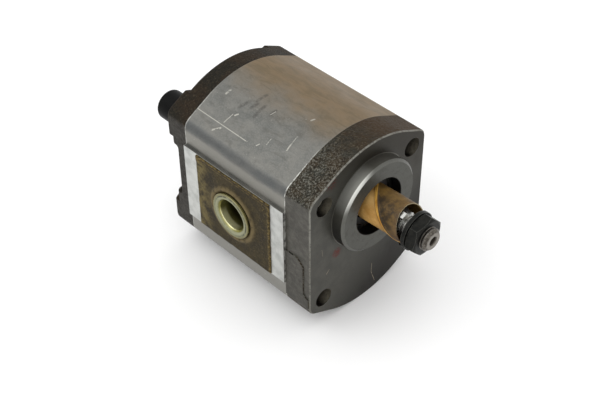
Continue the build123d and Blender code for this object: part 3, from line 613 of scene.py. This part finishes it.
# ---------------------------------------------------------------- pieces
SLEEVE_R = 9.75
SLEEVE_T = 0.62
SLEEVE_START = 1.4
SLEEVE_END = 26.0
SLEEVE_END_SLOPE = 0.31
SLEEVE_LEAN = Vector((0, 0.77, 0.64))  # the loose sleeve is off centre this way, and tilted
SLEEVE_LIFT = 0.45
SLEEVE_TILT = math.radians(1.5)
SEAM_X = 10.2  # where the seam crosses the side that faces up and towards -Y
SEAM_PITCH = 51.5
SEAM_HEIGHT = 0.45
SEAM_WIDTH = 0.9
SEAM_FACING = Vector((0, -0.607, 0.794))
SEAM_ACROSS = Vector((0, -0.794, -0.607))


def mesh_object(name, points, faces, material, body, node):
    """A smooth mesh from points in millimetres, riding on body in place of a CAD node."""
    mesh = bpy.data.meshes.new(name)
    mesh.from_pydata([Vector(p) * MM for p in points], [], faces)
    mesh.validate()
    for polygon in mesh.polygons:
        polygon.use_smooth = True
    mesh.materials.append(material)
    piece = bpy.data.objects.new(name, mesh)
    scene.collection.objects.link(piece)
    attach(piece, body)
    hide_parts(node)


def sleeve_finish():
    """Waxed kraft tape, wound on at a slant: clean golden paper, then oil-soaked brown past the seam."""
    f = Finish("kraft_paper", Specular_IOR_Level=0.25)
    cosine = f.vector("DOT_PRODUCT", f.place, tuple(SEAM_FACING))
    sine = f.vector("DOT_PRODUCT", f.place, tuple(SEAM_ACROSS))
    turn = f.math("ARCTAN2", sine, cosine)
    past = f.math("SUBTRACT", f.x, f.add(f.times(turn, SEAM_PITCH / math.tau), SEAM_X))
    fibre = f.noise(0.5, 3, 0.6, stretch=(6, 1, 1))
    cloud = f.noise(6, 4, 0.62)
    clean = f.mix(f.step(cloud, 0.35, 0.68), srgb(200, 158, 92), srgb(172, 128, 66))
    clean = f.mix(f.times(f.step(fibre, 0.5, 0.75), 0.25), clean, srgb(150, 108, 54))
    soiled = f.mix(f.step(f.noise(4.5, 4, 0.65), 0.38, 0.66), srgb(46, 36, 21), srgb(96, 74, 38))
    soiled = f.mix(f.times(f.step(f.noise(1.6, 4, 0.7), 0.5, 0.66), 0.65), soiled, srgb(36, 28, 19))
    soiled = f.mix(f.times(f.step(f.x, 20, 25), 0.35), soiled, srgb(128, 100, 66))
    flank = f.step(f.math("ABSOLUTE", f.math("SUBTRACT", turn, 0.25)), 0.45, 1.05)
    gilt = f.mix(f.step(cloud, 0.35, 0.6), srgb(132, 102, 50), srgb(96, 72, 34))
    soiled = f.mix(f.times(flank, 0.5), soiled, gilt)
    # painted shade darkening the paper towards the seam
    clean = f.mix(f.times(f.step(past, -4.5, -1.0), 0.45), clean, srgb(140, 98, 42))
    # a painted highlight along the side of the tube that faces up
    clean = f.mix(f.times(f.band(turn, -0.35, 0.25, 0.25), 0.35), clean, srgb(222, 186, 122))
    colour = f.mix(f.step(past, -0.6, 0.9), clean, soiled)
    colour = f.mix(f.times(f.step(f.x, 5.5, 2.5), 0.35), colour, srgb(120, 84, 40))
    seam = f.band(past, -0.95, 0.75, 0.3)
    ridge = f.mix(f.step(cloud, 0.42, 0.65), srgb(216, 166, 78), srgb(180, 126, 46))
    colour = f.mix(f.times(seam, 0.95), colour, ridge)
    # painted shade in the creases either side of the seam's ridge
    crease = f.either(f.band(past, 0.95, 1.35, 0.15), f.band(past, -1.5, -1.15, 0.15))
    colour = f.mix(f.times(crease, 0.6), colour, srgb(52, 36, 18))
    cut = f.step(f.vector("DOT_PRODUCT", f.facing_vector, (0.955, 0, 0.296)), 0.8, 0.95)
    colour = f.mix(cut, colour, srgb(164, 152, 122))
    radius = f.from_shaft()
    colour = f.mix(f.step(radius, 9.0, 8.6), colour, srgb(70, 52, 34))
    f.colour(colour)
    f.roughness(f.blend(cloud, 0.4, 0.58))
    f.bump(fibre, 0.05)
    f.bump(f.noise(2.2, 3, 0.6), 0.12)
    return f.material


def make_sleeve(material):
    """A tube of wound tape, cut at a slant, with the tape's edge standing up as a helical seam."""
    around, along, back_along = 180, 70, 12
    axis = Vector((math.cos(SLEEVE_TILT), 0, 0)) + SLEEVE_LEAN * math.sin(SLEEVE_TILT)

    def point(turn, share, inner):
        radial = SEAM_FACING * math.cos(turn) + SEAM_ACROSS * math.sin(turn)
        end = SLEEVE_END - SLEEVE_END_SLOPE * (radial.z * SLEEVE_R + 0.7)
        x = SLEEVE_START + (end - SLEEVE_START) * share
        wobble = noise.noise(Vector((x * 0.12, radial.y * 1.3, radial.z * 1.3)))
        fray = noise.noise(Vector((radial.y * 7, radial.z * 7, 4.0))) * 0.22 * share**6
        wrapped = (turn + math.pi) % math.tau - math.pi
        past = x - SEAM_X - wrapped * SEAM_PITCH / math.tau
        ridge = SEAM_HEIGHT * math.exp(-((past / SEAM_WIDTH) ** 4)) + 0.08 / (1 + math.exp(-6 * past))
        radius = SLEEVE_R - 0.12 + 0.1 * wobble + ridge
        if inner:
            radius = SLEEVE_R - SLEEVE_T + 0.08 * wobble
        centre = SLEEVE_LEAN * SLEEVE_LIFT + axis * (x - SLEEVE_START) + Vector((SLEEVE_START + fray, 0, 0))
        return centre + radial * radius

    points, faces = [], []
    rows = [(j / along, False) for j in range(along + 1)]
    rows += [(1 - j / back_along, True) for j in range(back_along + 1)]
    for share, inner in rows:
        points += [point(math.tau * i / around, share, inner) for i in range(around)]
    for j in range(len(rows)):
        for i in range(around):
            a, b = j * around + i, j * around + (i + 1) % around
            c = (j + 1) % len(rows) * around
            faces.append((a, b, c + (i + 1) % around, c + i))
    mesh_object("wound_sleeve", points, faces, material, "drive_shaft", "paper_sleeve")


SHEET_HALF_L = 26.0
SHEET_HALF_H = 22.8
SHEET_T = 0.8
SHEET_HOLE_R = 11.8
CREST_R = 14.3  # the bulge round the plug
CREST_W = 1.6
CREST_H = 1.0
RIM_R = 12.65  # inside this the card is pressed flat under the plug's flange


def sheet_finish():
    """Brown oiled card glued over the port, with glue showing gold along its edges."""
    f = Finish("brown_sheet", Specular_IOR_Level=0.1)
    across, up, from_port = f.from_port()
    cloud = f.noise(7, 4, 0.62)
    fleck = f.noise(1.3, 4, 0.7)
    colour = f.mix(f.step(cloud, 0.35, 0.68), srgb(44, 38, 26), srgb(62, 54, 35))
    colour = f.mix(f.times(f.step(fleck, 0.5, 0.68), 0.45), colour, srgb(90, 81, 58))
    colour = f.mix(f.times(f.step(f.noise(0.7, 3, 0.6), 0.48, 0.62), 0.5), colour, srgb(34, 29, 20))
    left = f.times(f.step(across, -13, -24), f.step(cloud, 0.4, 0.6))
    colour = f.mix(f.times(left, 0.7), colour, srgb(112, 100, 64))
    # painted highlight on the bulge round the plug
    painted_bulge_highlight = f.times(f.band(from_port, 13.0, 15.8, 1.0), f.step(f.noise(3, 3, 0.6), 0.25, 0.55))
    colour = f.mix(f.times(painted_bulge_highlight, 0.7), colour, srgb(112, 98, 68))
    gap = f.times(f.step(from_port, 13.3, 12.9), f.step(f.noise(4, 2), 0.3, 0.55))
    colour = f.mix(f.times(gap, 0.8), colour, srgb(72, 62, 38))
    gold = f.mix(f.step(f.noise(1.5, 3, 0.7), 0.38, 0.6), srgb(114, 98, 60), srgb(58, 49, 30))
    ragged = f.times(f.noise(2.2, 3, 0.6), 0.9)
    top_edge = f.either(
        f.band(f.add(up, ragged), 22.6, 24, 0.25), f.times(f.band(f.add(up, ragged), 21.1, 21.6, 0.2), 0.85)
    )
    side_edge = f.band(f.add(across, ragged), 24.9, 26.5, 0.3)
    flecks = f.times(f.times(f.step(across, 16, 24), f.step(up, 12, 20)), f.step(fleck, 0.5, 0.6))
    corner = f.times(f.step(across, -20.5, -23.5), f.step(up, 17.8, 20.6))
    edge = f.either(top_edge, f.times(side_edge, f.step(fleck, 0.36, 0.5)), f.times(flecks, 0.8), corner)
    colour = f.mix(f.times(edge, 0.85), colour, gold)
    groove = f.times(f.band(f.add(up, ragged), 21.75, 22.35, 0.12), f.step(across, -24, -22))
    colour = f.mix(f.times(groove, 0.8), colour, srgb(38, 30, 20))
    shade = f.times(f.band(across, -24.4, -21, 0.6), f.band(up, 17.2, 18.4, 0.4))
    colour = f.mix(f.times(shade, 0.7), colour, srgb(36, 31, 24))
    f.colour(colour)
    f.roughness(f.blend(cloud, 0.5, 0.75))
    f.bump(fleck, 0.16)
    f.bump(f.noise(0.5, 3, 0.6), 0.05)
    f.bump(edge, 0.12)
    return f.material


def make_sheet(name, node, side, material, seed):
    """A card over one port pad: a hole for the plug, a bulge round it and slightly ragged edges."""
    corner = math.atan2(SHEET_HALF_H, SHEET_HALF_L)
    corners = (-corner, corner, math.pi - corner, math.pi + corner, math.tau - corner)
    per_side = 60
    angles = [
        low + (high - low) * i / per_side
        for low, high in zip(corners, corners[1:])
        for i in range(per_side)
    ]
    # rings from the hole (0) to the border (1), closest at the hole's rim and at the border
    shares = [0.0, 0.008, 0.02]
    shares += [0.02 + 0.5 * (i / 18) for i in range(1, 19)]
    shares += [0.52 + 0.48 * math.sin(math.pi / 2 * i / 14) for i in range(1, 15)]

    def border(angle):
        to_side = SHEET_HALF_L / max(abs(math.cos(angle)), 1e-6)
        to_top = SHEET_HALF_H / max(abs(math.sin(angle)), 1e-6)
        reach = min(to_side, to_top)
        rag = noise.noise(Vector((math.cos(angle) * 9, math.sin(angle) * 9, seed)))
        return reach - 0.25 + 0.22 * rag

    def height(across, up, distance, share):
        bulge = CREST_H * math.exp(-(((distance - CREST_R) / CREST_W) ** 2))
        seated = bulge * min(1.0, max(0.0, (distance - RIM_R) / 0.35))
        ridge = 0.14 * math.exp(-(((SHEET_HALF_H - up - 0.7) / 0.6) ** 2))
        chip = 0.7 * max(0.0, 1 - math.hypot((across + 24) / 3.2, (up - 21) / 2.6))
        swell = 0.07 * noise.noise(Vector((across * 0.12, up * 0.12, seed)))
        worn = 0.35 * max(0.0, (share - 0.985) / 0.015)
        return SHEET_T - 0.05 + seated + ridge + chip + swell - worn

    points, faces = [], []
    rings = [(share, True) for share in shares] + [(share, False) for share in (1.0, 0.5, 0.0)]
    for share, upper in rings:
        for angle in angles:
            distance = SHEET_HOLE_R + (border(angle) - SHEET_HOLE_R) * share
            across, up = distance * math.cos(angle), distance * math.sin(angle)
            out = height(across, up, distance, share) if upper else 0.0
            points.append((PORT_X + across, side * (PAD_FACE + out), PORT_Z + up))
    count = len(angles)
    for j in range(len(rings)):
        for i in range(count):
            a, b = j * count + i, j * count + (i + 1) % count
            c = (j + 1) % len(rings) * count
            face = (a, b, c + (i + 1) % count, c + i)
            faces.append(face if side > 0 else face[::-1])
    mesh_object(name, points, faces, material, "housing", node)


# ---------------------------------------------------------------- floor and light, in metres
FLOOR_REACH = 20.0
KEY_PLACE = Vector((-0.45, -0.75, 0.95))
KEY_AIM = Vector((-0.04, 0, -0.01))
KEY_SIZE = 0.8
KEY_POWER = 3.0
WORLD_AT_HORIZON = 0.9
WORLD_OVERHEAD = 1.3


def make_floor():
    mesh = bpy.data.meshes.new("floor")
    around = ((-1, -1), (1, -1), (1, 1), (-1, 1))
    corners = [(x * FLOOR_REACH, y * FLOOR_REACH, cad_box[0].z) for x, y in around]
    mesh.from_pydata(corners, [], [(0, 1, 2, 3)])
    floor = bpy.data.objects.new("floor", mesh)
    scene.collection.objects.link(floor)
    f = Finish("floor_white")
    f.colour(f.mix(f.step(f.noise(400, 2), 0.3, 0.7), (0.89, 0.89, 0.89, 1), (0.92, 0.92, 0.92, 1)))
    f.roughness(f.blend(f.noise(200, 2), 0.8, 0.95))
    mesh.materials.append(f.material)


def make_key_light():
    data = bpy.data.lights.new("key_light", "AREA")
    data.shape = "SQUARE"
    data.size = KEY_SIZE
    data.energy = KEY_POWER
    light = bpy.data.objects.new("key_light", data)
    light.location = KEY_PLACE
    light.rotation_euler = (KEY_AIM - KEY_PLACE).to_track_quat("-Z", "Y").to_euler()
    scene.collection.objects.link(light)


def make_world():
    """White studio light from all round, a little stronger overhead."""
    scene.view_settings.view_transform = "Standard"
    world = bpy.data.worlds.new("studio")
    scene.world = world
    world.use_nodes = True
    tree = world.node_tree
    background = tree.nodes["Background"]
    background.inputs["Color"].default_value = (1, 1, 1, 1)
    direction = tree.nodes.new("ShaderNodeTexCoord")
    parts = tree.nodes.new("ShaderNodeSeparateXYZ")
    tree.links.new(direction.outputs["Generated"], parts.inputs[0])
    lift = tree.nodes.new("ShaderNodeMapRange")
    lift.interpolation_type = "SMOOTHSTEP"
    lift.inputs["From Min"].default_value = -0.2
    lift.inputs["From Max"].default_value = 1.0
    lift.inputs["To Min"].default_value = WORLD_AT_HORIZON
    lift.inputs["To Max"].default_value = WORLD_OVERHEAD
    tree.links.new(parts.outputs["Z"], lift.inputs["Value"])
    tree.links.new(lift.outputs["Result"], background.inputs["Strength"])


make_camera()
make_floor()
make_world()
make_key_light()
body_finish()
front_finish()
rear_finish()
black_finish()
bolt_finish()
shaft_finish()
plug_finish()
alloy_finish()
bronze_finish()
rubber_finish()
make_sleeve(sleeve_finish())
card = sheet_finish()
make_sheet("port_card_a", "port_sheet_a", -1, card, 1.7)
make_sheet("port_card_b", "port_sheet_b", 1, card, 5.2)
